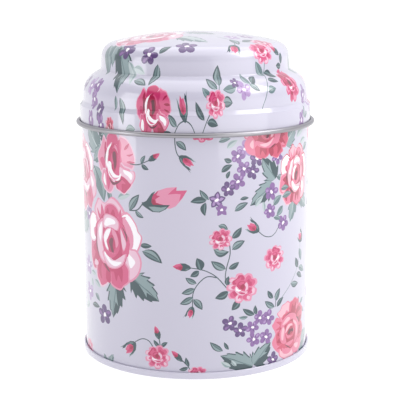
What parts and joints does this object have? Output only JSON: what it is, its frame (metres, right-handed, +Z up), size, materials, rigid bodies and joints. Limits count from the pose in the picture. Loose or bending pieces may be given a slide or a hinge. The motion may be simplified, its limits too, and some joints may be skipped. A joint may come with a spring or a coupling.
{
  "type": "cookie tin",
  "caption": "Tall round printed cookie tin: a stepped domed lid slips over a rolled tinplate wall with a double-seamed base.",
  "frame": {"origin": "centre of the ring the tin stands on, on the surface under it", "axes": "+Z up along the tin's axis; the wall's lock seam is at +Y, the side away from the viewer"},
  "size_m": [0.115, 0.115, 0.1551],
  "materials": {
    "printed_lacquer": "gloss lacquer over a flat floral print on white, tinplate left bare inside and on the lid's rim curl",
    "base_lacquer": "plain white gloss lacquer on tinplate"
  },
  "bodies": {
    "tin": {"body_wall": "printed_lacquer", "base_end": "base_lacquer"},
    "lid": {"lid": "printed_lacquer"}
  },
  "joints": [
    {"name": "lid_lift", "type": "slide", "parent": "tin", "child": "lid", "axis": [0, 0, 1], "range_m": [0, 0.08]}
  ]
}
